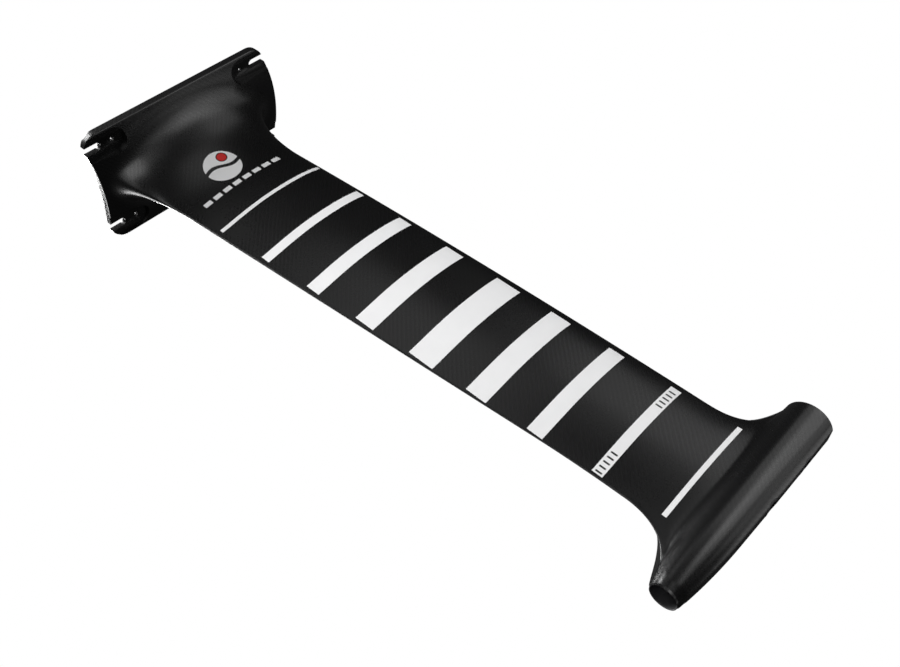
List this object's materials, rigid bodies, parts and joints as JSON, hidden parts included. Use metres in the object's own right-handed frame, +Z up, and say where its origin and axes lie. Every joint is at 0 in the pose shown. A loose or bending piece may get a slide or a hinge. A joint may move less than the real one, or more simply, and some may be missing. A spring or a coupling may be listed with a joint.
{
  "type": "hydrofoil mast",
  "caption": "Moulded carbon hydrofoil mast: board plate with open screw slots, tapered foil-section blade and a round fuselage socket at the foot.",
  "frame": {"origin": "middle of the plate's flat board face", "axes": "+X forward to the leading edge, +Y to port, +Z up out of the board face; the blade hangs down"},
  "size_m": [0.2122, 0.12, 0.638],
  "materials": {
    "carbon_skin": "satin clear-coated black carbon cloth",
    "laminate": "bare pressed carbon laminate",
    "foam_core": "closed-cell foam",
    "bond_line": "filled epoxy bond line",
    "screw_metal": "dark turned stainless steel",
    "film_white": "white print under clear coat",
    "film_red": "red print under clear coat",
    "film_black": "black print under clear coat"
  },
  "bodies": {
    "root": {"plate_top_skin": "carbon_skin", "plate_lower_shell_port": "carbon_skin", "plate_lower_shell_starboard": "carbon_skin", "blade_skin_port": "carbon_skin", "blade_skin_starboard": "carbon_skin", "foot_shell_port": "carbon_skin", "foot_shell_starboard": "carbon_skin", "plate_deck": "laminate", "slot_cup_front_port": "laminate", "slot_cup_front_starboard": "laminate", "slot_cup_rear_port": "laminate", "slot_cup_rear_starboard": "laminate", "spar_root_block": "laminate", "spar_cap_port": "laminate", "spar_cap_starboard": "laminate", "spar_web_front": "laminate", "spar_web_rear": "laminate", "socket_sleeve": "laminate", "plate_core": "foam_core", "spar_foam": "foam_core", "leading_foam": "foam_core", "trailing_foam": "foam_core", "foot_core": "foam_core", "leading_edge_seam": "bond_line", "trailing_edge_seam": "bond_line", "screw_seat_front": "screw_metal", "screw_seat_rear": "screw_metal", "bars_port": "film_white", "bars_starboard": "film_white", "emblem_disc_port": "film_white", "emblem_disc_starboard": "film_white", "dashes_port": "film_white", "dashes_starboard": "film_white", "emblem_dot_port": "film_red", "emblem_dot_starboard": "film_red", "ruler_ticks_port": "film_black", "ruler_ticks_starboard": "film_black"}
  },
  "joints": []
}
